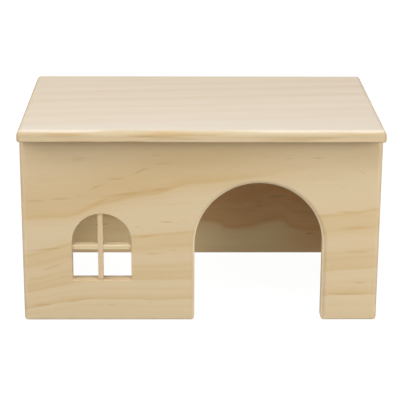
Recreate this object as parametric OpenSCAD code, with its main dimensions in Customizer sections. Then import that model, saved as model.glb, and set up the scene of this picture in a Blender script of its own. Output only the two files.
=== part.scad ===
// Wooden hamster house: five thin pine boards, dowelled and glued into a box with no floor.
// The front board has an arched doorway, and an arched window with a cross of two bars.
// Millimetres. The origin is the middle of the footprint, on the floor: +X to the right as one
// faces the front, the front towards -Y, +Z up.

/* [Walls] */
// Width over the front board
body_w = 210; // [180:1:260]
// Depth over the front and back boards
body_d = 125; // [100:1:180]
// Height of the walls, floor to roof
wall_h = 113; // [105:1:150]
// Thickness of the wall boards
wall_t = 7.5; // [6.5:0.5:10]
// Rounding of the upright outer edges of the front and back boards
wall_edge_r = 3; // [1:0.5:5]
// Rounding of the boards' bottom corners, seen from the front
foot_r = 2; // [0.5:0.5:4]
// Easing of the outer edge along the bottom of each wall
foot_ease_r = 1; // [0.4:0.1:1.5]

/* [Roof] */
// Thickness of the roof board
roof_t = 7; // [6.5:0.5:10]
// Overhang of the roof in front of the front board
roof_over_front = 11; // [6:0.5:20]
// Overhang of the roof past each side board
roof_over_side = 0.2; // [0.1:0.1:8]
// Overhang of the roof behind the back board
roof_over_back = 0.5; // [0.2:0.1:8]
// Rounding of the roof's four corners, seen from above
roof_corner_r = 2; // [1:0.5:8]
// Rounding of the roof's upper edges
roof_edge_r = 3.5; // [1.5:0.5:3.5]
// Easing of the roof's lower edges
roof_ease_r = 0.8; // [0.4:0.1:1.5]

/* [Doorway] */
// Width of the doorway
door_w = 75.4; // [60:0.2:90]
// Height of the doorway at the top of its arch
door_h = 85.2; // [70:0.2:92]
// Width of the pillar between the doorway and the board's right-hand edge
pillar_w = 33.4; // [24:0.2:45]
// Rounding of the doorway's front edge
door_rim_r = 2; // [0.6:0.1:3]

/* [Window] */
// Width of the window
window_w = 34.8; // [28:0.2:40]
// Height of the window, from its sill to the top of its arch
window_h = 41.1; // [36:0.1:50]
// Height of the sill above the floor
window_sill = 25.5; // [18:0.5:32]
// Distance from the board's left-hand edge to the window
window_margin = 29.2; // [20:0.1:40]
// Easing of the window's front edge
window_ease_r = 0.5; // [0.3:0.1:1]
// Width of each window bar, seen from the front
bar_w = 3; // [2.2:0.1:5]
// Depth of each window bar, front to back
bar_d = 5; // [4:0.2:6]
// Easing of the bars' front edges
bar_ease_r = 0.4; // [0.2:0.1:0.8]
// Height of the crossbar's top above the sill
crossbar_rise = 22; // [16:0.2:26]
// How far the upright bar stands to the left of the window's middle
upright_shift = 0.7; // [0:0.1:3]
// Glue gap between the ends of the bars and the window's edge
bar_glue_gap = 0.05; // [0.02:0.01:0.2]
// Glue gap on each side of a bar in its half-lap
lap_glue_gap = 0.03; // [0.01:0.01:0.1]

/* [Dowels] */
// Diameter of the dowels
dowel_d = 4; // [3:0.5:4.5]
// Length of the dowels
dowel_l = 16; // [14:1:20]
// How deep a dowel sits in the board whose face it enters
dowel_seat = 4.5; // [3.5:0.5:5]
// Chamfer on the dowels' ends
dowel_chamfer = 0.4; // [0.2:0.1:0.8]
// Radial clearance of a dowel in its bore
dowel_fit = 0.05; // [0.02:0.01:0.1]
// Glue space past each end of a dowel
dowel_end_gap = 0.3; // [0.1:0.1:0.8]
// Height of the lower corner dowels, and distance of the upper ones below the roof
corner_dowel_inset = 26; // [20:1:35]
// Distance from the ends of the front and back boards to their outer roof dowels
end_dowel_inset = 30; // [24:1:45]
// Distance from the front and back faces to the side boards' roof dowels
side_dowel_inset = 36; // [30:1:45]

/* [Hidden] */
$fn = 72;
// Segments round a dowel and its bore, and round the circle of a small edge rounding
small_fn = 32;
// Overshoot of a cut past the face that it opens
cut = 1;

// The roof's plan sets the footprint, and its middle is the origin
roof_w = body_w + 2 * roof_over_side;
roof_d = body_d + roof_over_front + roof_over_back;
front_y = -roof_d / 2 + roof_over_front;
back_y = front_y + body_d;

// Middle lines of the four walls
front_mid_y = front_y + wall_t / 2;
back_mid_y = back_y - wall_t / 2;
side_mid_x = body_w / 2 - wall_t / 2;

// A rounding can't be larger than the board leaves room for
edge_r = min(wall_edge_r, wall_t - foot_ease_r);
top_r = min(roof_edge_r, roof_t - roof_ease_r);

// Doorway: middle line, and the height where its arch springs
door_x = body_w / 2 - pillar_w - door_w / 2;
door_spring = door_h - door_w / 2;

// Window: middle line, arch spring, and the middle line of its upright bar
window_x = -body_w / 2 + window_margin + window_w / 2;
window_spring = window_sill + window_h - window_w / 2;
upright_x = window_x - upright_shift;
crossbar_top = window_sill + crossbar_rise;

// Heights and places of the dowels
corner_dowel_z = [corner_dowel_inset, wall_h - corner_dowel_inset];
end_dowel_x = [-body_w / 2 + end_dowel_inset, 0, body_w / 2 - end_dowel_inset];
side_dowel_y = [front_y + side_dowel_inset, back_y - side_dowel_inset];

// Extrudes an outline drawn in X and Z along Y, from y0 to y1
module along_y(y0, y1) {
    translate([0, y1, 0]) rotate([90, 0, 0]) linear_extrude(y1 - y0) children();
}

// Extrudes an outline drawn in Y and Z along X, from x0 to x1
module along_x(x0, x1) {
    translate([x0, 0, 0]) rotate([90, 0, 90]) linear_extrude(x1 - x0) children();
}

// The waste that leaves a corner rounded: the corner is the origin, the wood lies towards
// +X and +Y of it, and the arc touches both of its sides
module corner_waste(r) {
    difference() {
        translate([-cut, -cut]) square(r + cut);
        translate([r, r]) circle(r, $fn = small_fn);
    }
}

// Keeps a shape and adds its mirror image, left for right
module both_sides() {
    children();
    mirror([1, 0, 0]) children();
}

// Front outline of the front and back boards, with rounded bottom corners
module wall_outline() {
    difference() {
        translate([-body_w / 2, 0]) square([body_w, wall_h]);
        both_sides() translate([-body_w / 2, 0]) corner_waste(foot_r);
    }
}

// Doorway as it is sawn: a round arch on straight jambs, with the jambs' feet rounded
module door_outline() {
    translate([door_x, door_spring]) circle(door_w / 2);
    translate([door_x - door_w / 2, -cut]) square([door_w, door_spring + cut]);
    translate([door_x + door_w / 2, 0]) corner_waste(foot_r);
    translate([door_x - door_w / 2, 0]) mirror([1, 0]) corner_waste(foot_r);
}

// Window opening, smaller by a gap all round: a round arch on a square-cornered foot
module window_outline(gap = 0) {
    translate([window_x, window_spring]) circle(window_w / 2 - gap);
    translate([window_x - window_w / 2 + gap, window_sill + gap])
        square([window_w - 2 * gap, window_spring - window_sill - gap]);
}

// Waste along an upright edge at x, y0: the wood lies towards +X and +Y
module upright_edge_waste(x, y0, z0, z1, r) {
    translate([x, y0, z0]) linear_extrude(z1 - z0) corner_waste(r);
}

// Waste of the router that rounds the doorway's front edge: one revolved ring for the arch,
// and a straight run down each jamb
module door_rim_waste() {
    translate([door_x, front_y, door_spring]) rotate([-90, 0, 0])
        rotate_extrude() translate([door_w / 2, 0]) corner_waste(door_rim_r);
    translate([door_x, 0, 0]) both_sides()
        upright_edge_waste(door_w / 2, front_y, -cut, door_spring, door_rim_r);
}

// Waste of the easing down both jambs of the window, from the arch to z0
module window_jamb_waste(z0) {
    translate([window_x, 0, 0]) both_sides()
        upright_edge_waste(window_w / 2, front_y, z0, window_spring, window_ease_r);
}

// Waste of the easing along the sill, over a half width to each side of the window's middle
module window_sill_waste(half) {
    along_x(window_x - half, window_x + half)
        translate([front_y, window_sill]) mirror([0, 1]) corner_waste(window_ease_r);
}

// Waste that eases the window's front edge. In the two lower corners the easing of the jamb
// and that of the sill run on into the wood until they meet in a mitre
module window_rim_waste() {
    translate([window_x, front_y, window_spring]) rotate([-90, 0, 0])
        rotate_extrude() translate([window_w / 2, 0]) corner_waste(window_ease_r);
    window_jamb_waste(window_sill);
    window_sill_waste(window_w / 2);
    intersection() {
        window_jamb_waste(window_sill - window_ease_r);
        window_sill_waste(window_w / 2 + window_ease_r);
    }
}

// Waste of the two upright outer edges and the bottom edge of a front board. The back board
// is the same board turned round, so it takes the mirror image of this
module wall_edge_waste() {
    both_sides() upright_edge_waste(-body_w / 2, front_y, -cut, wall_h + cut, edge_r);
    along_x(-body_w / 2 - cut, body_w / 2 + cut) translate([front_y, 0]) corner_waste(foot_ease_r);
}

// Puts what is drawn at the front in the same place at the back, and the other way round
module front_to_back() {
    translate([0, front_y + back_y, 0]) mirror([0, 1, 0]) children();
}

// A dowel or, grown by the fit, its bore: it enters the face of one board to the -Z side of
// the origin by its seat, and the end grain of the other board to the +Z side
module dowel_shape(d, l, seat, chamfer = 0) {
    translate([0, 0, -seat]) rotate_extrude($fn = small_fn) polygon([
        [0, 0], [d / 2 - chamfer, 0], [d / 2, chamfer],
        [d / 2, l - chamfer], [d / 2 - chamfer, l], [0, l],
    ]);
}

module dowel() {
    dowel_shape(dowel_d, dowel_l, dowel_seat, dowel_chamfer);
}

// The bore's two ends leave glue space past the dowel
module dowel_bore() {
    bore_l = dowel_l + 2 * dowel_end_gap;
    bore_d = dowel_d + 2 * dowel_fit;
    translate([0, 0, -dowel_seat - dowel_end_gap]) cylinder(h = bore_l, d = bore_d, $fn = small_fn);
}

// Corner dowels lie along Y: they enter the inner face of the front board, and the end grain
// of the side board behind it. side is -1 for left and 1 for right
module at_front_corner(side) {
    for (z = corner_dowel_z)
        translate([side * side_mid_x, front_y + wall_t, z]) rotate([-90, 0, 0]) children();
}

// Roof dowels stand up: they enter the underside of the roof, and the top edge of a wall
module at_wall_top(points) {
    for (p = points)
        translate([p[0], p[1], wall_h]) mirror([0, 0, 1]) children();
}

front_top_points = [for (x = end_dowel_x) [x, front_mid_y]];
back_top_points = [for (x = end_dowel_x) [x, back_mid_y]];
left_top_points = [for (y = side_dowel_y) [-side_mid_x, y]];
right_top_points = [for (y = side_dowel_y) [side_mid_x, y]];

module front_wall() {
    color([0.83, 0.71, 0.56]) difference() {
        along_y(front_y, front_y + wall_t) difference() {
            wall_outline();
            door_outline();
            window_outline();
        }
        wall_edge_waste();
        door_rim_waste();
        window_rim_waste();
        for (side = [-1, 1]) at_front_corner(side) dowel_bore();
        at_wall_top(front_top_points) dowel_bore();
    }
}

module back_wall() {
    color([0.81, 0.69, 0.54]) difference() {
        along_y(back_y - wall_t, back_y) wall_outline();
        front_to_back() wall_edge_waste();
        front_to_back() for (side = [-1, 1]) at_front_corner(side) dowel_bore();
        at_wall_top(back_top_points) dowel_bore();
    }
}

// A side board fits between the front and back boards, and its outer face is flush with
// their ends. It is drawn as the left one
module side_board() {
    difference() {
        translate([-body_w / 2, front_y + wall_t, 0]) cube([wall_t, body_d - 2 * wall_t, wall_h]);
        along_y(front_y, back_y) translate([-body_w / 2, 0]) corner_waste(foot_ease_r);
        at_front_corner(-1) dowel_bore();
        front_to_back() at_front_corner(-1) dowel_bore();
        at_wall_top(left_top_points) dowel_bore();
    }
}

module left_wall() {
    color([0.84, 0.73, 0.58]) side_board();
}

module right_wall() {
    color([0.84, 0.73, 0.58]) mirror([1, 0, 0]) side_board();
}

// Roof outline seen from above, with rounded corners
module roof_outline() {
    difference() {
        square([roof_w, roof_d], center = true);
        both_sides() for (turn = [0, 1])
            mirror([0, turn]) translate([-roof_w / 2, -roof_d / 2]) corner_waste(roof_corner_r);
    }
}

// Waste that rounds all the lower edges of a board with the roof's outline, standing on
// z = 0: a straight run along each side, and at each corner a quarter ring, which stops at the
// middle of the corner's arc where the rounding is the larger of the two
module roof_edge_waste(r) {
    run_x = roof_w / 2 - roof_corner_r;
    run_y = roof_d / 2 - roof_corner_r;
    for (turn = [0, 1]) mirror([0, turn, 0])
        along_x(-run_x, run_x) translate([-roof_d / 2, 0]) corner_waste(r);
    both_sides()
        along_y(-run_y, run_y) translate([-roof_w / 2, 0]) corner_waste(r);
    both_sides() for (turn = [0, 1]) mirror([0, turn, 0])
        translate([run_x, run_y, 0]) rotate_extrude(angle = 90) intersection() {
            translate([roof_corner_r, 0]) mirror([1, 0]) corner_waste(r);
            translate([0, -cut]) square([roof_corner_r + cut, r + cut]);
        }
}

module roof() {
    color([0.89, 0.82, 0.75]) difference() {
        translate([0, 0, wall_h]) linear_extrude(roof_t) roof_outline();
        translate([0, 0, wall_h]) roof_edge_waste(roof_ease_r);
        translate([0, 0, wall_h + roof_t]) mirror([0, 0, 1]) roof_edge_waste(top_r);
        at_wall_top(front_top_points) dowel_bore();
        at_wall_top(back_top_points) dowel_bore();
        at_wall_top(left_top_points) dowel_bore();
        at_wall_top(right_top_points) dowel_bore();
    }
}

// Fronts of the two window bars, which end at the window's edge
module upright_outline() {
    intersection() {
        window_outline(bar_glue_gap);
        translate([upright_x - bar_w / 2, window_sill]) square([bar_w, window_h]);
    }
}

module crossbar_outline() {
    intersection() {
        window_outline(bar_glue_gap);
        translate([window_x - window_w / 2, crossbar_top - bar_w]) square([window_w, bar_w]);
    }
}

// The bars are half-lapped where they cross. The upright passes in front, so it loses the
// back half of its depth there, and the crossbar loses the front half
lap_y = front_y + bar_d / 2;

module window_upright() {
    color([0.85, 0.74, 0.61]) difference() {
        along_y(front_y, front_y + bar_d) upright_outline();
        along_y(lap_y, front_y + bar_d + cut)
            translate([upright_x - bar_w / 2 - cut, crossbar_top - bar_w - lap_glue_gap])
                square([bar_w + 2 * cut, bar_w + 2 * lap_glue_gap]);
        translate([upright_x, 0, 0]) both_sides() upright_edge_waste(
            -bar_w / 2, front_y, window_sill, window_sill + window_h, bar_ease_r);
    }
}

module window_crossbar() {
    color([0.87, 0.78, 0.63]) difference() {
        along_y(front_y, front_y + bar_d) crossbar_outline();
        along_y(front_y - cut, lap_y)
            translate([upright_x - bar_w / 2 - lap_glue_gap, crossbar_top - bar_w - cut])
                square([bar_w + 2 * lap_glue_gap, bar_w + 2 * cut]);
        translate([0, 0, crossbar_top - bar_w / 2]) for (turn = [0, 1]) mirror([0, 0, turn])
            along_x(window_x - window_w / 2, window_x + window_w / 2)
                translate([front_y, -bar_w / 2]) corner_waste(bar_ease_r);
    }
}

module front_left_dowels() {
    color([0.8, 0.66, 0.48]) at_front_corner(-1) dowel();
}

module front_right_dowels() {
    color([0.8, 0.66, 0.48]) at_front_corner(1) dowel();
}

module back_left_dowels() {
    color([0.8, 0.66, 0.48]) front_to_back() at_front_corner(-1) dowel();
}

module back_right_dowels() {
    color([0.8, 0.66, 0.48]) front_to_back() at_front_corner(1) dowel();
}

module roof_front_dowels() {
    color([0.8, 0.66, 0.48]) at_wall_top(front_top_points) dowel();
}

module roof_back_dowels() {
    color([0.8, 0.66, 0.48]) at_wall_top(back_top_points) dowel();
}

module roof_left_dowels() {
    color([0.8, 0.66, 0.48]) at_wall_top(left_top_points) dowel();
}

module roof_right_dowels() {
    color([0.8, 0.66, 0.48]) at_wall_top(right_top_points) dowel();
}

front_wall();
back_wall();
left_wall();
right_wall();
roof();
window_upright();
window_crossbar();
front_left_dowels();
front_right_dowels();
back_left_dowels();
back_right_dowels();
roof_front_dowels();
roof_back_dowels();
roof_left_dowels();
roof_right_dowels();
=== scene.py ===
import math

import bpy
from mathutils import Matrix, Vector


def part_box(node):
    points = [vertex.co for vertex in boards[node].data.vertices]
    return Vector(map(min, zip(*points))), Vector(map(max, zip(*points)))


# Wooden hamster house in sanded, uncoated pine. Metres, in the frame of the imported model: the
# origin is the middle of the footprint, on the floor, and the front faces -Y.

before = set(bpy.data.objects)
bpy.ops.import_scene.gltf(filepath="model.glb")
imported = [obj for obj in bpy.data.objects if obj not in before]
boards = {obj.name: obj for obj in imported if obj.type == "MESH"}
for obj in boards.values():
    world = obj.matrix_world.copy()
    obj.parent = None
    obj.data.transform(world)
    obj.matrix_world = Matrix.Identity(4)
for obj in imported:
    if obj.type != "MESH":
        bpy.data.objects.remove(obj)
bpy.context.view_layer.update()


# ---------------------------------------------------------------- places on the house

front_low, front_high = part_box("front_wall")
back_low, back_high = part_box("back_wall")
roof_low, roof_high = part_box("roof")

FRONT_FACE = front_low.y

# Doorway: half its width, the width of the board to its right, its middle line, the height where
# its arch springs, and the radius of its rounded rim
DOOR_HALF = 0.0377
PILLAR_WIDTH = 0.0334
DOOR_MIDDLE = front_high.x - PILLAR_WIDTH - DOOR_HALF
DOOR_SPRING = 0.0475
DOOR_RIM = 0.002

# Window: half its width, the width of the board to its left, its middle line, and its sill
WINDOW_HALF = 0.0174
WINDOW_MARGIN = 0.0292
WINDOW_MIDDLE = front_low.x + WINDOW_MARGIN + WINDOW_HALF
WINDOW_SILL = 0.0255


# ---------------------------------------------------------------- laying out materials

def place(tree, kind, options, values):
    """Adds one node, sets its options, and gives each input a value or another node's output."""
    made = tree.nodes.new(kind)
    for name, value in options.items():
        setattr(made, name, value)
    for key, value in values.items():
        if isinstance(value, bpy.types.NodeSocket):
            tree.links.new(value, made.inputs[key])
        else:
            made.inputs[key].default_value = value
    return made


def maths(tree, operation, a, b=0.0, c=0.0, clamp=False):
    """One step of arithmetic."""
    options = {"operation": operation, "use_clamp": clamp}
    return place(tree, "ShaderNodeMath", options, {0: a, 1: b, 2: c}).outputs[0]


def eased(tree, value, low, high, to_low=0.0, to_high=1.0):
    """A soft step of a value, from one level at low to another at high."""
    options = {"interpolation_type": "SMOOTHSTEP", "clamp": True}
    values = {"Value": value, "From Min": low, "From Max": high, "To Min": to_low, "To Max": to_high}
    return place(tree, "ShaderNodeMapRange", options, values).outputs["Result"]


def mixed(tree, factor, a, b):
    """Goes from one value to another as the factor goes from 0 to 1."""
    return place(tree, "ShaderNodeMix", {"data_type": "FLOAT"}, {0: factor, 2: a, 3: b}).outputs[0]


def swing(tree, level):
    """How far a level from 0 to 1 swings from its middle."""
    return maths(tree, "SUBTRACT", level, 0.5)


def diagonal(tree, a, b):
    """The length of the diagonal over two distances at right angles."""
    squares = maths(tree, "ADD", maths(tree, "MULTIPLY", a, a), maths(tree, "MULTIPLY", b, b))
    return maths(tree, "POWER", squares, 0.5)


def blend_tones(tree, factor, a, b):
    """Mixes two colours."""
    options = {"data_type": "RGBA", "blend_type": "MIX", "clamp_factor": True}
    return place(tree, "ShaderNodeMix", options, {0: factor, 6: a, 7: b}).outputs[2]


def vector_of(tree, x, y, z):
    """A vector from its three parts."""
    return place(tree, "ShaderNodeCombineXYZ", {}, {"X": x, "Y": y, "Z": z}).outputs["Vector"]


def parts_of(tree, vector):
    """The three parts of a vector."""
    split = place(tree, "ShaderNodeSeparateXYZ", {}, {"Vector": vector})
    return split.outputs["X"], split.outputs["Y"], split.outputs["Z"]


def stretched(tree, grain, along, across, through):
    """Grain coordinates scaled for a pattern that runs out along the fibres."""
    options = {"operation": "MULTIPLY"}
    values = {0: grain, 1: (along, across, through)}
    return place(tree, "ShaderNodeVectorMath", options, values).outputs["Vector"]


def speckle(tree, vector, detail=2.0, roughness=0.5, distortion=0.0):
    """Noise from 0 to 1 at the vector's own scale."""
    values = {"Vector": vector, "Scale": 1.0, "Detail": detail, "Roughness": roughness,
              "Distortion": distortion}
    return place(tree, "ShaderNodeTexNoise", {"noise_dimensions": "3D"}, values).outputs[0]


def open_group(name, inputs, outputs):
    """A new shader node group with named sockets."""
    tree = bpy.data.node_groups.new(name, "ShaderNodeTree")
    for socket, kind, value in inputs:
        made = tree.interface.new_socket(socket, in_out="INPUT", socket_type=kind)
        made.default_value = value
    for socket, kind in outputs:
        tree.interface.new_socket(socket, in_out="OUTPUT", socket_type=kind)
    given = tree.nodes.new("NodeGroupInput").outputs
    result = tree.nodes.new("NodeGroupOutput").inputs
    return tree, given, result


def use_group(tree, group, values):
    """Places a group with its own values, and gives its outputs."""
    return place(tree, "ShaderNodeGroup", {"node_tree": group}, values).outputs


NUMBER = "NodeSocketFloat"
COLOUR = "NodeSocketColor"
VECTOR = "NodeSocketVector"


# ---------------------------------------------------------------- colours and finish

# Early wood and late wood of the walls, and the sides' own late wood
PALE = (0.672, 0.531, 0.335, 1.0)
LATE = (0.60, 0.42, 0.205, 1.0)
SIDE_LATE = (0.62, 0.45, 0.235, 1.0)

# Marks that all the wood has
RESIN_BROWN = (0.53, 0.325, 0.135, 1.0)
FLECK_BROWN = (0.32, 0.19, 0.09, 1.0)
END_GRAIN_BROWN = (0.40, 0.26, 0.13, 1.0)
RUBBED_PALE = (0.80, 0.66, 0.47, 1.0)

# Front board: the window's sill, paler as painted light, and the doorway's inner edge, pale partly as
# wear and partly as painted light
SILL_PAINTED_LIGHT = (0.88, 0.76, 0.58, 1.0)
RIM_WEAR_AND_LIGHT_PALE = (0.95, 0.76, 0.50, 1.0)

# Inner face of the back board: brighter, warmer copies of the wood, partly its own tone and partly
# painted light that comes in through the doorway
BACK_INNER_LIT_PALE = (0.93, 0.735, 0.405, 1.0)
BACK_INNER_LIT_LATE = (0.77, 0.44, 0.18, 1.0)

# Roof: its top, paler and greyer than its edges partly as a sanded face and partly as painted sheen;
# the top along the front, paler still as painted sheen; its edges; and their shoulder, darker as
# painted shade
ROOF_TOP_PALE = (0.683, 0.591, 0.474, 1.0)
ROOF_SHEEN_PALE = (0.685, 0.619, 0.542, 1.0)
ROOF_TOP_LATE = (0.636, 0.516, 0.378, 1.0)
ROOF_EDGE_PALE = (0.620, 0.482, 0.296, 1.0)
ROOF_EDGE_LATE = (0.495, 0.350, 0.180, 1.0)
ROOF_SHADED_SHOULDER = (0.535, 0.434, 0.281, 1.0)

# Bars of the window, and dowels
UPRIGHT_PALE = (0.672, 0.515, 0.328, 1.0)
UPRIGHT_LATE = (0.61, 0.43, 0.23, 1.0)
CROSSBAR_PALE = (0.745, 0.635, 0.41, 1.0)
CROSSBAR_LATE = (0.68, 0.54, 0.33, 1.0)
DOWEL_PALE = (0.66, 0.50, 0.31, 1.0)
DOWEL_LATE = (0.54, 0.38, 0.2, 1.0)

# Gloss of the walls and bars, and of the drier roof
WALL_GLOSS = 0.3
ROOF_GLOSS = 0.15

# Height of the fibres over the sanded face
RELIEF = 0.00012

# How far an edge is rubbed by sanding, how high the painted shade along the front board's foot
# reaches, and how far from a board's end its end grain shows
FRONT_RUB = 0.0035
BOARD_RUB = 0.003
ROOF_RUB = 0.0045
BAR_RUB = 0.0006
FOOT_SHADE = 0.0032
END_DEPTH = 0.0022


# ---------------------------------------------------------------- effects shared by the boards

def growth_rings():
    """Year rings of a sawn board. Grain runs along X, and the pith lies off the board."""
    tree, given, result = open_group(
        "growth_rings",
        [
            ("Grain", VECTOR, (0.0, 0.0, 0.0)),
            ("Pith across", NUMBER, 0.0),
            ("Pith below", NUMBER, 0.06),
            ("Pith slope", NUMBER, 0.0),
            ("Pith dive", NUMBER, 0.0),
            ("Ring width", NUMBER, 0.006),
            ("Wander", NUMBER, 0.004),
        ],
        [("Tone", NUMBER)],
    )
    grain = given["Grain"]
    along, across, through = parts_of(tree, grain)

    # The rings wander a little, with a slow bend of three times that
    sway = speckle(tree, stretched(tree, grain, 9.0, 22.0, 22.0), 2.0, 0.45)
    sway = maths(tree, "MULTIPLY", swing(tree, sway), given["Wander"])
    bend = speckle(tree, stretched(tree, grain, 3.1, 4.0, 4.0), 0.0)
    bend = maths(tree, "MULTIPLY", swing(tree, bend), given["Wander"])
    sway = maths(tree, "MULTIPLY_ADD", bend, 3.0, sway)

    # How far each place lies from the pith, which runs at a slant; no two years are as wide
    pith = maths(tree, "MULTIPLY_ADD", along, given["Pith slope"], given["Pith across"])
    beside = maths(tree, "SUBTRACT", across, pith)
    below = maths(tree, "MULTIPLY_ADD", along, given["Pith dive"], given["Pith below"])
    below = maths(tree, "ADD", through, below)
    reach = diagonal(tree, beside, below)
    reach = maths(tree, "ADD", reach, sway)
    uneven = speckle(tree, vector_of(tree, maths(tree, "MULTIPLY", reach, 75.0), 3.7, 1.9), 1.0)
    reach = maths(tree, "MULTIPLY_ADD", swing(tree, uneven), 0.014, reach)

    # Each ring darkens slowly and ends sharply, to a depth of its own
    year = maths(tree, "DIVIDE", reach, given["Ring width"])
    season = maths(tree, "FRACT", year)
    which = maths(tree, "FLOOR", year)
    rise = eased(tree, season, 0.15, 0.93)
    fall = eased(tree, season, 0.93, 1.0, 1.0, 0.0)
    band = maths(tree, "MULTIPLY", maths(tree, "POWER", rise, 1.6), fall)
    luck = place(tree, "ShaderNodeTexWhiteNoise", {"noise_dimensions": "1D"}, {"W": which}).outputs[0]
    band = maths(tree, "MULTIPLY", band, maths(tree, "MULTIPLY_ADD", luck, 0.75, 0.25))

    # Broad stretches where the whole wood is browner
    drift = speckle(tree, stretched(tree, grain, 6.0, 45.0, 45.0), 1.0)
    drift = eased(tree, drift, 0.3, 0.72, 0.0, 0.45)
    tree.links.new(maths(tree, "ADD", band, drift, clamp=True), result["Tone"])
    return tree


def pine_fibres():
    """Sanded pine: the rings' tone in two colours, with fibre streaks, resin flecks and
    a slow drift of warmth, and the relief and gloss that go with them."""
    tree, given, result = open_group(
        "pine_fibres",
        [
            ("Grain", VECTOR, (0.0, 0.0, 0.0)),
            ("Tone", NUMBER, 0.5),
            ("Pale wood", COLOUR, PALE),
            ("Late wood", COLOUR, LATE),
            ("Streaks", NUMBER, 0.5),
            ("Flecks", NUMBER, 0.5),
            ("End grain", NUMBER, 0.0),
            ("Rubbed edge", NUMBER, 0.0),
            ("Resin line", NUMBER, 0.0),
            ("Resin", COLOUR, RESIN_BROWN),
        ],
        [("Color", COLOUR), ("Roughness", NUMBER), ("Height", NUMBER)],
    )
    grain = given["Grain"]

    # Fibre streaks: broad, fine, and the hairlines between them, about the middle of their sum
    broad = speckle(tree, stretched(tree, grain, 11.0, 210.0, 210.0), 3.0, 0.6, 0.2)
    fine = speckle(tree, stretched(tree, grain, 34.0, 1150.0, 1150.0), 3.0, 0.62)
    hair = speckle(tree, stretched(tree, grain, 90.0, 3600.0, 3600.0), 2.0, 0.6)
    broad_share, fine_share, hair_share = 0.75, 0.45, 0.2
    streak = maths(tree, "MULTIPLY", fine, fine_share)
    streak = maths(tree, "MULTIPLY_ADD", broad, broad_share, streak)
    streak = maths(tree, "MULTIPLY_ADD", hair, hair_share, streak)
    streak = maths(tree, "SUBTRACT", streak, (broad_share + fine_share + hair_share) / 2)
    streak = maths(tree, "MULTIPLY", streak, given["Streaks"])

    # Blotches where the wood takes the light a little warmer or cooler
    blotch = speckle(tree, stretched(tree, grain, 17.0, 60.0, 60.0), 2.0)
    tone = maths(tree, "ADD", given["Tone"], maths(tree, "MULTIPLY", streak, 1.1))
    tone = maths(tree, "MULTIPLY_ADD", swing(tree, blotch), 0.22, tone)
    colour = blend_tones(tree, maths(tree, "ADD", tone, 0.0, clamp=True),
                         given["Pale wood"], given["Late wood"])

    # Lines of resin drawn by the material, broken up by the fine fibres
    line = maths(tree, "MULTIPLY", given["Resin line"], eased(tree, fine, 0.30, 0.55, 0.55, 1.0))
    line = maths(tree, "ADD", line, 0.0, clamp=True)
    colour = blend_tones(tree, line, colour, given["Resin"])

    # Resin flecks: short dark dashes, in places only
    dash = speckle(tree, stretched(tree, grain, 150.0, 2300.0, 2300.0), 1.0, 0.5)
    where = speckle(tree, stretched(tree, grain, 28.0, 120.0, 120.0), 1.0, 0.5)
    dash = eased(tree, dash, 0.66, 0.74)
    dash = maths(tree, "MULTIPLY", dash, eased(tree, where, 0.52, 0.66))
    dash = maths(tree, "MULTIPLY", dash, given["Flecks"])
    colour = blend_tones(tree, dash, colour, FLECK_BROWN)

    # End grain is darker and takes a dotted texture; rubbed edges are a little lighter
    dots = speckle(tree, stretched(tree, grain, 300.0, 2600.0, 2600.0), 2.0, 0.6)
    ends = maths(tree, "MULTIPLY", given["End grain"], maths(tree, "MULTIPLY_ADD", dots, 0.5, 0.3))
    colour = blend_tones(tree, ends, colour, END_GRAIN_BROWN)
    rubbed = maths(tree, "MULTIPLY", given["Rubbed edge"], 0.4)
    colour = blend_tones(tree, rubbed, colour, RUBBED_PALE)
    tree.links.new(colour, result["Color"])

    # Late wood is a little smoother, end grain rougher, and rubbed edges are polished
    rough = maths(tree, "MULTIPLY_ADD", given["Tone"], -0.07, 0.60)
    rough = maths(tree, "MULTIPLY_ADD", swing(tree, fine), 0.16, rough)
    rough = maths(tree, "MULTIPLY_ADD", given["End grain"], 0.12, rough)
    rough = maths(tree, "MULTIPLY_ADD", given["Rubbed edge"], -0.05, rough)
    tree.links.new(maths(tree, "ADD", rough, 0.0, clamp=True), result["Roughness"])

    # Late wood stands up after sanding, and resin lines and flecks lie lower
    height = maths(tree, "MULTIPLY_ADD", fine, 0.5, maths(tree, "MULTIPLY", hair, 0.35))
    height = maths(tree, "MULTIPLY_ADD", given["Tone"], 0.35, height)
    height = maths(tree, "MULTIPLY_ADD", dash, -0.8, height)
    height = maths(tree, "MULTIPLY_ADD", line, -0.4, height)
    tree.links.new(height, result["Height"])
    return tree


def eased_edges():
    """Where a board's long edges are rubbed by sanding, and where its ends show end grain,
    from the board's own box. Broken up so that no edge is even."""
    tree, given, result = open_group(
        "eased_edges",
        [
            ("Place", VECTOR, (0.0, 0.0, 0.0)),
            ("Middle", VECTOR, (0.0, 0.0, 0.0)),
            ("Half size", VECTOR, (0.1, 0.1, 0.1)),
            ("Reach", NUMBER, BOARD_RUB),
        ],
        [("Edge", NUMBER), ("Ends", VECTOR)],
    )
    away = place(tree, "ShaderNodeVectorMath", {"operation": "SUBTRACT"},
                 {0: given["Place"], 1: given["Middle"]}).outputs["Vector"]
    away = place(tree, "ShaderNodeVectorMath", {"operation": "ABSOLUTE"}, {0: away}).outputs["Vector"]
    inside = place(tree, "ShaderNodeVectorMath", {"operation": "SUBTRACT"},
                   {0: given["Half size"], 1: away}).outputs["Vector"]
    a, b, c = parts_of(tree, inside)

    # The second smallest distance to a face is the distance to the nearest edge
    least = maths(tree, "MINIMUM", a, b)
    most = maths(tree, "MAXIMUM", a, b)
    second = maths(tree, "MINIMUM", most, maths(tree, "MAXIMUM", least, c))
    edge = eased(tree, maths(tree, "DIVIDE", second, given["Reach"]), 0.0, 1.0, 1.0, 0.0)
    rub = speckle(tree, stretched(tree, given["Place"], 120.0, 120.0, 120.0), 3.0, 0.6)
    edge = maths(tree, "MULTIPLY", edge, eased(tree, rub, 0.35, 0.62, 0.35, 1.0))
    tree.links.new(edge, result["Edge"])

    ends = [eased(tree, inwards, 0.0, END_DEPTH, 1.0, 0.0) for inwards in (a, b, c)]
    tree.links.new(vector_of(tree, *ends), result["Ends"])
    return tree


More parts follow.
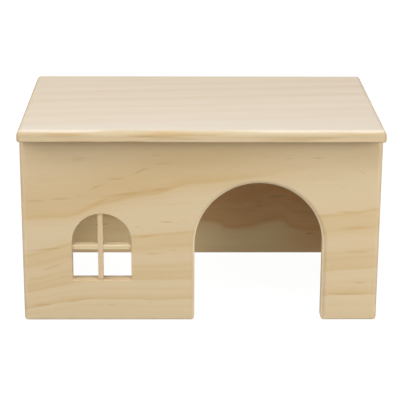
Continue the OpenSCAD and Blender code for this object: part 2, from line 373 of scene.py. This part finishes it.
def grain_mark():
    """A lens-shaped streak on the face of an upright board, added to the streaks before it:
    where they meet, the stronger one shows."""
    tree, given, result = open_group(
        "grain_mark",
        [
            ("Place", VECTOR, (0.0, 0.0, 0.0)),
            ("Middle", VECTOR, (0.0, 0.0, 0.0)),
            ("Turn", VECTOR, (0.0, 0.0, 0.0)),
            ("Half size", VECTOR, (0.004, 1.0, 0.0005)),
            ("Strength", NUMBER, 0.5),
            ("Before", NUMBER, 0.0),
        ],
        [("Streaks", NUMBER)],
    )
    values = {"Vector": given["Place"], "Location": given["Middle"], "Rotation": given["Turn"],
              "Scale": given["Half size"]}
    spot = place(tree, "ShaderNodeMapping", {"vector_type": "TEXTURE"}, values).outputs["Vector"]
    reach = place(tree, "ShaderNodeVectorMath", {"operation": "LENGTH"}, {0: spot}).outputs["Value"]
    mark = maths(tree, "MULTIPLY", eased(tree, reach, 0.2, 1.0, 1.0, 0.0), given["Strength"])
    tree.links.new(maths(tree, "MAXIMUM", mark, given["Before"]), result["Streaks"])
    return tree


RINGS = growth_rings()
FIBRES = pine_fibres()
EDGES = eased_edges()
MARK = grain_mark()


# ---------------------------------------------------------------- the materials

# Order of the axes for each way that a board lies: along the grain, across it, and through
# the board's thickness
FRONT_GRAIN = "XZY"
SIDE_GRAIN = "YZX"
FLAT_GRAIN = "XYZ"
UPRIGHT_GRAIN = "ZXY"
DOWEL_LEVEL = "YXZ"
DOWEL_UPRIGHT = "ZXY"


def start_material(name):
    """A new material with an empty tree, and its object coordinates."""
    material = bpy.data.materials.new(name)
    material.use_nodes = True
    tree = material.node_tree
    tree.nodes.clear()
    place_out = tree.nodes.new("ShaderNodeTexCoord").outputs["Object"]
    return material, tree, place_out


def turned_grain(tree, place_out, order, shift):
    """Object coordinates with X along the board's fibres, shifted along them to a figure of the
    board's own."""
    x, y, z = parts_of(tree, place_out)
    axes = {"X": x, "Y": y, "Z": z}
    turned = vector_of(tree, *[axes[letter] for letter in order])
    values = {0: turned, 1: (shift, 0.0, 0.0)}
    return place(tree, "ShaderNodeVectorMath", {"operation": "ADD"}, values).outputs["Vector"]


def finish_material(tree, wood, gloss=WALL_GLOSS):
    """The shader itself: dry, sanded wood with no coat."""
    values = {"Strength": 0.5, "Distance": RELIEF, "Height": wood["Height"]}
    bump = place(tree, "ShaderNodeBump", {}, values)
    values = {
        "Base Color": wood["Color"],
        "Roughness": wood["Roughness"],
        "Normal": bump.outputs["Normal"],
        "IOR": 1.45,
        "Specular IOR Level": gloss,
    }
    shader = place(tree, "ShaderNodeBsdfPrincipled", {}, values)
    out = tree.nodes.new("ShaderNodeOutputMaterial")
    tree.links.new(shader.outputs["BSDF"], out.inputs["Surface"])


def edges_of(tree, place_out, low, high, reach):
    """Rubbed edges and ends of the board that fills the given box."""
    middle = (low + high) / 2
    half = (high - low) / 2
    values = {"Place": place_out, "Middle": middle[:], "Half size": half[:], "Reach": reach}
    return use_group(tree, EDGES, values)


def pine_board(name, low, high, order, shift, pale, late, pith, ring_width, wander=0.004,
               streaks=0.5, flecks=0.5, reach=BOARD_RUB, ends=True):
    """Material of a plain board or bar: its own rings, colours and box. The pith's line is given
    by its place across the board and below it, its slope and its dive."""
    material, tree, place_out = start_material(name)
    grain = turned_grain(tree, place_out, order, shift)
    across, below, slope, dive = pith
    values = {"Grain": grain, "Pith across": across, "Pith below": below, "Pith slope": slope,
              "Pith dive": dive, "Ring width": ring_width, "Wander": wander}
    tone = use_group(tree, RINGS, values)["Tone"]
    edges = edges_of(tree, place_out, low, high, reach)
    end_parts = dict(zip("XYZ", parts_of(tree, edges["Ends"])))
    end_grain = end_parts[order[0]] if ends else 0.0
    values = {"Grain": grain, "Tone": tone, "Pale wood": pale, "Late wood": late,
              "Streaks": streaks, "Flecks": flecks, "End grain": end_grain,
              "Rubbed edge": edges["Edge"]}
    wood = use_group(tree, FIBRES, values)
    finish_material(tree, wood)
    return material


# The height in metres that a wave's curve spans
WAVE_SPAN = 0.1


def wave_along(tree, x, points):
    """A bent line over the width of the house: its height in metres at x, through points that
    are given in millimetres."""
    left, right = front_low.x, front_high.x
    share = maths(tree, "DIVIDE", maths(tree, "SUBTRACT", x, left), right - left)
    made = place(tree, "ShaderNodeFloatCurve", {}, {"Factor": 1.0, "Value": share})
    curve = made.mapping.curves[0]
    while len(curve.points) < len(points):
        curve.points.new(0.5, 0.5)
    for point, (at, up) in zip(curve.points, points):
        point.location = ((at / 1000 - left) / (right - left), 0.5 + up / 1000 / WAVE_SPAN)
    made.mapping.update()
    return maths(tree, "MULTIPLY", swing(tree, made.outputs[0]), WAVE_SPAN)


def marks_on(tree, place_out, face, marks):
    """The strongest of several placed streaks at each spot. Each mark: place along the board
    and height, half length and half height in millimetres, slope and strength."""
    sway = speckle(tree, stretched(tree, place_out, 90.0, 90.0, 260.0), 2.0, 0.5)
    sway = maths(tree, "MULTIPLY", swing(tree, sway), 0.0016)
    spot = place(tree, "ShaderNodeVectorMath", {"operation": "ADD"},
                 {0: place_out, 1: vector_of(tree, 0.0, 0.0, sway)}).outputs["Vector"]
    total = 0.0
    for at, up, length, thick, slope, strength in marks:
        values = {"Place": spot, "Middle": (at / 1000, face, up / 1000),
                  "Turn": (0.0, -math.atan(slope), 0.0),
                  "Half size": (length / 1000, 1.0, thick / 1000),
                  "Strength": strength, "Before": total}
        total = use_group(tree, MARK, values)["Streaks"]
    return total


def tone_over(tree, at, tones):
    """The tone at a place in metres, from a table of rising places in millimetres and tones."""
    first, last = tones[0][0] / 1000, tones[-1][0] / 1000
    share = maths(tree, "DIVIDE", maths(tree, "SUBTRACT", at, first), last - first)
    ramp = place(tree, "ShaderNodeValToRGB", {}, {"Fac": share})
    points = ramp.color_ramp.elements
    while len(points) < len(tones):
        points.new(0.5)
    for point, (spot, level) in zip(points, tones):
        point.position = (spot / 1000 - first) / (last - first)
        point.color = (level, level, level, 1.0)
    return ramp.outputs["Color"]


# Front board: its rings spread out from a point far to the left of the board, as on a plank
# sawn at a slant to the heart: the run to that point, and the tones over the height at the
# board's left end, in millimetres. Each late-wood line fades upwards from a crisp lower edge
FAN_RUN = 0.350
FRONT_TONES = (
    (0.0, 0.25), (5.0, 0.10), (6.7, 0.28), (8.4, -0.08), (10.0, -0.02), (10.5, 0.72), (12.8, 0.34),
    (14.6, 0.10), (15.4, 0.34), (17.6, 0.02), (20.2, 0.12), (20.8, 0.66), (23.4, 0.46), (25.0, 0.60),
    (26.4, 0.30), (27.7, 0.56), (29.2, 0.20), (32.5, 0.14), (35.2, 0.34), (36.9, 0.66), (39.5, 0.42),
    (42.6, 0.52), (43.5, 0.86), (44.4, 0.18), (50.0, -0.06), (57.5, -0.04), (63.6, 0.40),
    (65.0, 1.00), (68.0, 0.62), (73.4, 0.66), (75.2, 0.62), (92.0, 0.24),
)

# The two strongest late-wood lines wave along the board: place and rise above the even fan, in
# millimetres, of the lower line and of the upper one
LOWER_WAVE = (
    (-105, -1.0), (-93, -2.6), (-79, -4.2), (-72, -3.7), (-65, -2.0), (-58, -0.9), (-47, 0.0),
    (-33, 0.3), (-26, -0.4), (-12, 1.6), (0, 1.1), (30, 0.0), (105, 0.0),
)
UPPER_WAVE = (
    (-105, -1.2), (-93, -1.8), (-86, -3.0), (-79, -4.4), (-65, -3.1), (-59, -0.3), (-47, 0.2),
    (-40, 1.4), (-33, 2.7), (-26, 3.9), (-19, 4.1), (-5, 3.1), (5, 2.0), (30, 0.5), (105, 0.0),
)

# The rings below those two climb at the left-hand end: place and rise, in millimetres
FOOT_WAVE = (
    (-105, -3.6), (-96, -2.4), (-86, -0.3), (-76, 1.2), (-62, 1.9), (-45, 1.2), (-25, 0.3),
    (0, 0.0), (105, 0.0),
)

# Heights in metres over which the foot's wave gives way to the lower line's, and that to the
# upper line's, and over which the upper rings set in
FOOT_TO_LOWER = (0.048, 0.060)
LOWER_TO_UPPER = (0.065, 0.075)
UPPER_RINGS = (0.057, 0.065)

# How much the rings rise with each metre into the front board, and into the roof
FRONT_LEAN = 0.35
ROOF_LEAN = 0.9

# Resin lines and flecks of the front board: place along it and height, half length and half
# height, all in millimetres, slope and strength
FRONT_MARKS = (
    (-42.0, 79.2, 22.0, 1.53, 0.14, 0.63),
    (-24.0, 81.6, 9.0, 1.36, 0.10, 0.57),
    (-60.0, 73.8, 9.0, 1.05, 0.42, 0.51),
    (-97.0, 74.8, 8.0, 1.05, 0.08, 0.51),
    (-82.0, 75.9, 9.0, 0.90, 0.04, 0.57),
    (-61.0, 83.2, 6.0, 0.90, 0.45, 0.57),
    (-49.0, 88.4, 7.0, 0.90, 0.10, 0.57),
    (-35.0, 92.8, 8.0, 0.90, 0.42, 0.63),
    (-22.0, 97.4, 7.0, 0.75, 0.10, 0.46),
    (-41.0, 81.6, 3.5, 0.50, 0.00, 0.50),
    (-26.0, 102.4, 4.0, 0.60, 0.10, 0.50),
    (-71.0, 100.0, 7.0, 2.20, 0.10, 0.27),
    (-37.0, 58.8, 3.0, 0.40, 0.05, 0.60),
    (-20.0, 61.8, 5.0, 0.68, 0.00, 0.64),
    (-33.0, 52.8, 9.0, 0.90, 0.15, 0.46),
    (-90.0, 44.8, 15.0, 1.05, 0.12, 0.57),
    (-88.0, 33.5, 9.0, 1.36, 0.30, 0.35),
    (-28.0, 42.2, 6.0, 0.75, 0.05, 0.41),
    (-94.0, 9.8, 8.0, 0.90, 0.08, 0.57),
    (-72.0, 12.8, 12.0, 0.90, 0.15, 0.51),
    (-53.0, 9.6, 3.5, 0.60, 0.00, 0.40),
    (67.0, 101.0, 5.0, 0.68, -0.04, 0.59),
    (93.5, 92.2, 3.0, 0.40, -0.65, 0.60),
    (86.0, 68.0, 9.0, 0.75, 0.00, 0.63),
    (91.0, 58.0, 12.0, 1.53, 0.04, 0.46),
    (92.0, 43.3, 10.0, 0.75, 0.03, 0.57),
    (94.0, 23.8, 6.0, 0.60, -0.03, 0.51),
    (87.0, 16.6, 16.0, 0.90, 0.00, 0.57),
)


def front_rings(tree, place_out, x, y, z):
    """Tone of the front board's rings, from the height at which each would meet the left end."""
    run = maths(tree, "ADD", x, FAN_RUN - front_low.x)
    height = maths(tree, "DIVIDE", maths(tree, "MULTIPLY", z, FAN_RUN), run)
    wave = mixed(tree, eased(tree, height, *FOOT_TO_LOWER), wave_along(tree, x, FOOT_WAVE),
                 wave_along(tree, x, LOWER_WAVE))
    wave = mixed(tree, eased(tree, height, *LOWER_TO_UPPER), wave, wave_along(tree, x, UPPER_WAVE))
    height = maths(tree, "SUBTRACT", height, wave)
    sway = speckle(tree, stretched(tree, place_out, 26.0, 20.0, 62.0), 2.0, 0.5)
    height = maths(tree, "MULTIPLY_ADD", swing(tree, sway), 0.0025, height)
    fray = speckle(tree, stretched(tree, place_out, 60.0, 200.0, 420.0), 2.0, 0.6)
    height = maths(tree, "MULTIPLY_ADD", swing(tree, fray), 0.0012, height)
    behind = maths(tree, "SUBTRACT", y, FRONT_FACE)
    height = maths(tree, "MULTIPLY_ADD", behind, FRONT_LEAN, height)
    tone = tone_over(tree, height, FRONT_TONES)

    # The contrast of the upper rings falls off to the right
    upper = eased(tree, height, *UPPER_RINGS)
    contrast = mixed(tree, upper, 1.0, eased(tree, x, 0.0, 0.075, 1.0, 0.28))
    middle = mixed(tree, upper, 0.34, 0.10)
    return maths(tree, "MULTIPLY_ADD", maths(tree, "SUBTRACT", tone, middle), contrast, middle)


def door_rim_wear_and_shade(tree, x, y, z):
    """The doorway's routed rim: where its inner edge is pale, partly as wear and partly as painted
    light, and the browner line outside that, partly where the rim cuts across the grain and partly
    painted shade, most so down the right-hand jamb."""
    beside = maths(tree, "SUBTRACT", x, DOOR_MIDDLE)
    over = maths(tree, "MAXIMUM", maths(tree, "SUBTRACT", z, DOOR_SPRING), 0.0)
    reach = diagonal(tree, beside, over)
    rim = maths(tree, "SUBTRACT", reach, DOOR_HALF)
    deep = eased(tree, maths(tree, "SUBTRACT", y, FRONT_FACE), DOOR_RIM, DOOR_RIM * 2, 1.0, 0.0)
    worn = maths(tree, "MULTIPLY", eased(tree, rim, 0.0004, DOOR_RIM * 0.6, 1.0, 0.0), deep)
    cut_grain_and_shade = maths(tree, "MULTIPLY", eased(tree, rim, DOOR_RIM * 0.3, DOOR_RIM * 0.7),
                      eased(tree, rim, DOOR_RIM * 0.9, DOOR_RIM * 1.6, 0.5, 0.0))
    # Painted shade: the browner line is strongest down the right-hand jamb
    sideways = maths(tree, "MAXIMUM", maths(tree, "DIVIDE", beside, reach), 0.15)
    return worn, maths(tree, "MULTIPLY", cut_grain_and_shade, sideways)


def on_window_sill(tree, x, y, z):
    """Where the window's sill is: between the jambs, behind the front face, at its own height."""
    aside = maths(tree, "ABSOLUTE", maths(tree, "SUBTRACT", x, WINDOW_MIDDLE))
    sill = maths(tree, "MULTIPLY", eased(tree, aside, WINDOW_HALF, WINDOW_HALF + 0.001, 1.0, 0.0),
                 eased(tree, y, FRONT_FACE + 0.0004, FRONT_FACE + 0.0012))
    off = maths(tree, "ABSOLUTE", maths(tree, "SUBTRACT", z, WINDOW_SILL))
    return maths(tree, "MULTIPLY", sill, eased(tree, off, 0.0006, 0.0014, 1.0, 0.0))


def front_board_material():
    """The front board, with the figure that its face shows."""
    material, tree, place_out = start_material("pine_front_board")
    grain = turned_grain(tree, place_out, FRONT_GRAIN, 0.0)
    x, y, z = parts_of(tree, place_out)
    worn, cut_grain_and_shade = door_rim_wear_and_shade(tree, x, y, z)
    tone = front_rings(tree, place_out, x, y, z)
    tone = maths(tree, "MULTIPLY", tone, maths(tree, "SUBTRACT", 1.0, worn))
    lines = marks_on(tree, place_out, FRONT_FACE, FRONT_MARKS)
    edges = edges_of(tree, place_out, front_low, front_high, FRONT_RUB)
    edge = maths(tree, "MAXIMUM", edges["Edge"], worn)

    # End grain shows at the ends and along the rim; down the right-hand jamb's rim its brown is
    # partly painted shade, and along the foot it is painted shade
    end_grain = maths(tree, "MAXIMUM", parts_of(tree, edges["Ends"])[0], cut_grain_and_shade)
    # Painted shade: a brown band along the foot, where the board stands on the floor
    foot = eased(tree, z, 0.0004, FOOT_SHADE, 0.32, 0.0)
    end_grain = maths(tree, "MAXIMUM", end_grain, foot)

    # Painted light: the sill is paler, and so is the rim's inner edge, partly as wear, most of all
    # round the arch
    pale = blend_tones(tree, on_window_sill(tree, x, y, z), PALE, SILL_PAINTED_LIGHT)
    rim_wear_and_light = maths(tree, "MULTIPLY", worn, eased(tree, z, 0.025, 0.060, 0.3, 1.0))
    pale = blend_tones(tree, rim_wear_and_light, pale, RIM_WEAR_AND_LIGHT_PALE)
    values = {"Grain": grain, "Tone": tone, "Pale wood": pale, "Late wood": LATE, "Streaks": 0.45,
              "Flecks": 0.3, "End grain": end_grain, "Rubbed edge": edge, "Resin line": lines}
    wood = use_group(tree, FIBRES, values)
    finish_material(tree, wood)
    return material


# Back board: browner heartwood above a wavy border, and pale sapwood below it. The border's
# place and height, and the tones over the distance above it, in millimetres
BACK_BORDER = (
    (-105, 28.0), (-75, 27.0), (-50, 25.0), (-20, 23.0), (4, 22.2), (13, 21.3), (19, 18.2),
    (31, 18.4), (37, 19.5), (45, 21.6), (56, 22.0), (60, 18.8), (65, 16.2), (81, 14.6), (105, 14.0),
)
BACK_TONES = (
    (-25.0, 0.25), (-12.0, 0.05), (-6.0, 0.10), (-3.0, 0.18), (-1.0, 0.42), (1.2, 0.90), (3.5, 0.80),
    (9.0, 0.72), (13.0, 0.88), (15.0, 0.76), (22.0, 0.95), (26.0, 0.80), (40.0, 0.70), (60.0, 0.85),
    (80.0, 0.60), (100.0, 0.70),
)

# Resin lines of the back board, in the form of FRONT_MARKS
BACK_MARKS = (
    (40.0, 36.0, 4.5, 1.04, 0.10, 0.59),
    (40.6, 33.0, 3.9, 0.78, 0.00, 0.59),
    (36.0, 44.0, 2.6, 0.65, 0.00, 0.85),
    (52.0, 39.5, 9.1, 0.91, 0.05, 0.59),
    (75.0, 13.7, 3.9, 0.65, 0.00, 0.85),
    (-64.0, 20.0, 7.8, 0.78, 0.10, 0.51),
)


def back_board_material():
    """The back board: the inner face has the figure seen through the doorway, with painted light that
    brightens it, most of all to the left, the outer face its own rings."""
    material, tree, place_out = start_material("pine_back_board")
    grain = turned_grain(tree, place_out, FRONT_GRAIN, 0.31)
    x, y, z = parts_of(tree, place_out)
    sway = speckle(tree, stretched(tree, place_out, 26.0, 20.0, 62.0), 2.0, 0.5)
    sway = maths(tree, "MULTIPLY", swing(tree, sway), 0.004)
    height = maths(tree, "ADD", maths(tree, "SUBTRACT", z, wave_along(tree, x, BACK_BORDER)), sway)
    tone = tone_over(tree, height, BACK_TONES)
    # Painted shade: the inner face grows darker to the right, away from where light through the
    # doorway falls
    tone = maths(tree, "MAXIMUM", tone, eased(tree, x, 0.035, 0.080, 0.0, 0.62))
    edges = edges_of(tree, place_out, back_low, back_high, BOARD_RUB)
    end_grain = parts_of(tree, edges["Ends"])[0]
    outer = eased(tree, y, back_low.y + 0.001, back_low.y + 0.005)
    values = {"Grain": grain, "Pith across": 0.030, "Pith below": 0.150, "Pith slope": 0.05,
              "Pith dive": 0.04, "Ring width": 0.0042}
    tone = mixed(tree, outer, tone, use_group(tree, RINGS, values)["Tone"])
    pale = blend_tones(tree, outer, BACK_INNER_LIT_PALE, PALE)
    late = blend_tones(tree, outer, BACK_INNER_LIT_LATE, LATE)
    values = {"Grain": grain, "Tone": tone, "Pale wood": pale, "Late wood": late,
              "Streaks": 0.4, "Flecks": 0.4, "End grain": end_grain, "Rubbed edge": edges["Edge"],
              "Resin line": marks_on(tree, place_out, back_low.y, BACK_MARKS)}
    wood = use_group(tree, FIBRES, values)
    finish_material(tree, wood)
    return material


# Roof board: faint rings that run a little askew over the top. Their slope, and the tones from
# front to back, in millimetres
ROOF_ASKEW = 0.09
ROOF_TONES = (
    (-75.0, 0.10), (-60.0, 0.05), (-50.0, 0.00), (-43.0, 0.40), (-38.0, 0.15), (-32.0, 0.10),
    (-25.0, 0.45), (-20.0, 0.20), (-15.0, 0.00), (-9.0, 0.50), (-5.0, 0.20), (1.0, 0.10),
    (8.0, 0.60), (11.0, 0.90), (13.0, 0.40), (20.0, 0.25), (27.0, 0.55), (30.0, 0.90),
    (33.0, 0.35), (40.0, 0.30), (46.0, 0.80), (50.0, 0.40), (60.0, 0.50), (75.0, 0.50),
)

# How far down the edges the pale top comes, and where the shoulder below it begins and ends; the
# shoulder is darker as painted shade
TOP_DEPTH = 0.0013
SHOULDER_FROM = 0.0020
SHOULDER_TO = 0.0045

# Along the front edge the pale top comes down by more or less: place and rise, in millimetres
ROOF_CREST = (
    (-105, 0.1), (-90, 0.4), (-72, 0.5), (-62, 0.1), (-50, -0.4), (-20, -0.4), (10, -0.2), (24, 0.0),
    (36, 0.4), (60, 0.5), (80, 0.4), (92, 0.6), (105, 0.3),
)


def roof_board_material():
    """The roof: a pale top over yellower edges with streaks of their own. The top's paleness is
    partly the sanded face and partly painted sheen, most along the front, and the upper part of the
    edges is darker as painted shade.
    """
    material, tree, place_out = start_material("pine_roof_board")
    grain = turned_grain(tree, place_out, FLAT_GRAIN, 2.23)
    x, y, z = parts_of(tree, place_out)
    sway = speckle(tree, stretched(tree, place_out, 16.0, 50.0, 50.0), 2.0, 0.5)
    across = maths(tree, "MULTIPLY_ADD", x, -ROOF_ASKEW, y)
    across = maths(tree, "MULTIPLY_ADD", swing(tree, sway), 0.006, across)
    across = maths(tree, "MULTIPLY_ADD", maths(tree, "SUBTRACT", roof_high.z, z), ROOF_LEAN, across)
    tone = tone_over(tree, across, ROOF_TONES)
    edges = edges_of(tree, place_out, roof_low, roof_high, ROOF_RUB)
    end_grain = parts_of(tree, edges["Ends"])[0]
    # Painted sheen in part: the top, down to a wavy crest along the edges, takes the paler, greyer
    # top colours
    crest = maths(tree, "ADD", z, wave_along(tree, x, ROOF_CREST))
    top = eased(tree, crest, roof_high.z - TOP_DEPTH, roof_high.z)
    flat = eased(tree, z, roof_high.z - 0.0003, roof_high.z - 0.00004)
    top = maths(tree, "MAXIMUM", top, flat)
    # Painted shade: the rounded upper part of the edges, just below the top, is darker
    shoulder = eased(tree, crest, roof_high.z - SHOULDER_TO, roof_high.z - SHOULDER_FROM)
    layer = speckle(tree, stretched(tree, place_out, 22.0, 160.0, 420.0), 2.0, 0.5)
    layer = maths(tree, "MULTIPLY", swing(tree, layer), mixed(tree, top, 5.0, 0.6))
    tone = maths(tree, "ADD", tone, layer)
    # Painted sheen: the top grows paler and greyer towards the front edge
    front_sheen = eased(tree, y, roof_low.y + 0.004, roof_low.y + 0.045, 0.35, 0.0)
    top_pale = blend_tones(tree, front_sheen, ROOF_TOP_PALE, ROOF_SHEEN_PALE)
    edge_pale = blend_tones(tree, shoulder, ROOF_EDGE_PALE, ROOF_SHADED_SHOULDER)
    pale = blend_tones(tree, top, edge_pale, top_pale)
    late = blend_tones(tree, top, ROOF_EDGE_LATE, ROOF_TOP_LATE)
    values = {"Grain": grain, "Tone": tone, "Pale wood": pale, "Late wood": late, "Streaks": 0.5,
              "Flecks": 0.15, "End grain": end_grain,
              "Rubbed edge": maths(tree, "MULTIPLY", edges["Edge"], 0.2)}
    wood = use_group(tree, FIBRES, values)
    finish_material(tree, wood, gloss=ROOF_GLOSS)
    return material


materials = {
    "front_wall": front_board_material(),
    "back_wall": back_board_material(),
    "left_wall": pine_board(
        "pine_left_board", *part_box("left_wall"), SIDE_GRAIN, 0.83, PALE, SIDE_LATE,
        pith=(0.052, 0.390, 0.0, -0.30), ring_width=0.009, streaks=0.4),
    "right_wall": pine_board(
        "pine_right_board", *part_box("right_wall"), SIDE_GRAIN, 1.57, PALE, SIDE_LATE,
        pith=(0.080, -0.580, 0.0, 0.28), ring_width=0.0085, streaks=0.4),
    "roof": roof_board_material(),
    "window_upright": pine_board(
        "pine_upright_bar", *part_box("window_upright"), UPRIGHT_GRAIN, 3.11,
        UPRIGHT_PALE, UPRIGHT_LATE, pith=(0.03, 0.02, 0.0, 0.0), ring_width=0.005,
        streaks=0.3, flecks=0.2, reach=BAR_RUB),
    "window_crossbar": pine_board(
        "pine_crossbar", *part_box("window_crossbar"), FRONT_GRAIN, 3.97,
        CROSSBAR_PALE, CROSSBAR_LATE, pith=(0.03, 0.02, 0.0, 0.0), ring_width=0.006,
        streaks=0.3, flecks=0.2, reach=BAR_RUB),
}


# A box so large that no edge or end of it shows on a dowel
NO_EDGES = Vector((9.0, 9.0, 9.0))


def dowel_material(name, order, shift):
    """Turned dowel: close, straight grain, a little darker than the boards."""
    return pine_board(
        name, -NO_EDGES, NO_EDGES, order, shift, DOWEL_PALE, DOWEL_LATE,
        pith=(0.02, 0.05, 0.0, 0.0), ring_width=0.0012, wander=0.001, streaks=0.6, flecks=0.3,
        ends=False)


level_dowel = dowel_material("birch_level_dowel", DOWEL_LEVEL, 5.3)
upright_dowel = dowel_material("birch_upright_dowel", DOWEL_UPRIGHT, 6.1)

for node_name, board in boards.items():
    if node_name in materials:
        finish = materials[node_name]
    elif node_name.startswith("roof_"):
        finish = upright_dowel
    else:
        finish = level_dowel
    board.data.materials.clear()
    board.data.materials.append(finish)


# ---------------------------------------------------------------- floor, light and camera

# Floor: its width, its shade, the glow that the eye sees and the glow that the house gets
FLOOR_SIZE = 30.0
FLOOR_SHADE = 0.10
FLOOR_GLOW = 0.97
FLOOR_GIVES = 0.365

# The middle of the house, where every light is aimed, and each light: name, place, width in
# metres and power in watts
LIGHT_AIM = Vector((0.0, 0.0, 0.06))
LIGHTS = (
    ("light_above", (0.0, 0.0, 1.460), 1.0, 4.8),
    ("light_above_front", (0.0, -0.524, 1.358), 0.8, 6.6),
    ("light_front", (0.0, -1.187, 0.802), 0.8, 0.6),
    ("light_behind", (0.0, 1.298, 0.584), 1.0, 3.3),
    ("light_left_high", (-0.758, -0.636, 1.050), 0.8, 6.7),
    ("light_left_side", (-1.296, -0.228, 0.539), 0.8, 7.8),
    ("light_left_low", (-0.930, -0.930, 0.539), 0.7, 1.7),
    ("light_right_low", (0.930, -0.930, 0.539), 0.7, 4.8),
    ("light_right_side", (1.300, -0.110, 0.250), 0.5, 3.9),
    ("light_doorway_high", (0.718, -0.988, 0.505), 0.5, 4.1),
    ("light_doorway_low", (0.636, -1.101, 0.330), 0.5, 1.9),
)


def lay_floor():
    """Pale floor, white enough to meet the background, and clear when seen from below. What it
    gives back to the house is an even glow, weaker than the one that the eye sees."""
    bpy.ops.object.select_all(action="DESELECT")
    bpy.ops.mesh.primitive_plane_add(size=FLOOR_SIZE, location=(0.0, 0.0, 0.0))
    floor = bpy.context.object
    floor.name = "floor"
    material = bpy.data.materials.new("white_floor")
    material.use_nodes = True
    tree = material.node_tree
    tree.nodes.clear()
    sheen = place(tree, "ShaderNodeBsdfDiffuse", {}, {"Color": (FLOOR_SHADE,) * 3 + (1.0,)})
    glow = place(tree, "ShaderNodeEmission", {}, {"Strength": FLOOR_GLOW})
    seen = place(tree, "ShaderNodeAddShader", {}, {0: sheen.outputs[0], 1: glow.outputs[0]})
    given = place(tree, "ShaderNodeEmission", {}, {"Strength": FLOOR_GIVES})
    eye = tree.nodes.new("ShaderNodeLightPath").outputs["Is Camera Ray"]
    both = place(tree, "ShaderNodeMixShader", {}, {0: eye, 1: given.outputs[0], 2: seen.outputs[0]})
    clear = tree.nodes.new("ShaderNodeBsdfTransparent")
    side = tree.nodes.new("ShaderNodeNewGeometry").outputs["Backfacing"]
    shown = place(tree, "ShaderNodeMixShader", {}, {0: side, 1: both.outputs[0], 2: clear.outputs[0]})
    out = tree.nodes.new("ShaderNodeOutputMaterial")
    tree.links.new(shown.outputs[0], out.inputs["Surface"])
    floor.data.materials.append(material)


def hang_light(name, place_at, size, power):
    """A square soft light, turned to the middle of the house."""
    lamp = bpy.data.lights.new(name, "AREA")
    lamp.shape = "SQUARE"
    lamp.size = size
    lamp.energy = power
    made = bpy.data.objects.new(name, lamp)
    bpy.context.scene.collection.objects.link(made)
    made.location = place_at
    made.rotation_mode = "QUATERNION"
    made.rotation_quaternion = (LIGHT_AIM - Vector(place_at)).to_track_quat("-Z", "Y")


def light_room():
    """Soft lights round the house, in a white room that only the eye sees."""
    world = bpy.data.worlds.new("plain_room")
    bpy.context.scene.world = world
    world.use_nodes = True
    back = world.node_tree.nodes["Background"]
    back.inputs["Color"].default_value = (1.0, 1.0, 1.0, 1.0)
    eye = world.node_tree.nodes.new("ShaderNodeLightPath").outputs["Is Camera Ray"]
    world.node_tree.links.new(eye, back.inputs["Strength"])
    for name, place_at, size, power in LIGHTS:
        hang_light(name, place_at, size, power)


# The photographed view: place, focal length on a film 36 mm wide, and the turns in radians
CAMERA_PLACE = (-0.01281, -0.88524, 0.34505)
FILM_WIDTH = 36.0
FOCAL_LENGTH = 134.68
LOOKS_RIGHT = 0.0146
LOOKS_DOWN = 0.3149
CAMERA_ROLL = 0.0049


def set_camera():
    """The photographed view: a long lens, a little above the house and to the left of its
    middle, looking down by 18 degrees."""
    lens = bpy.data.cameras.new("camera")
    lens.sensor_width = FILM_WIDTH
    lens.lens = FOCAL_LENGTH
    lens.clip_end = 100.0
    camera = bpy.data.objects.new("camera", lens)
    bpy.context.scene.collection.objects.link(camera)
    camera.rotation_mode = "QUATERNION"
    turn = Matrix.Rotation(-LOOKS_RIGHT, 3, "Z")
    tilt = Matrix.Rotation(math.pi / 2 - LOOKS_DOWN, 3, "X")
    roll = Matrix.Rotation(CAMERA_ROLL, 3, "Z")
    camera.rotation_quaternion = (turn @ tilt @ roll).to_quaternion()
    camera.location = CAMERA_PLACE
    bpy.context.scene.camera = camera


lay_floor()
light_room()
set_camera()
bpy.context.scene.view_settings.view_transform = "Standard"
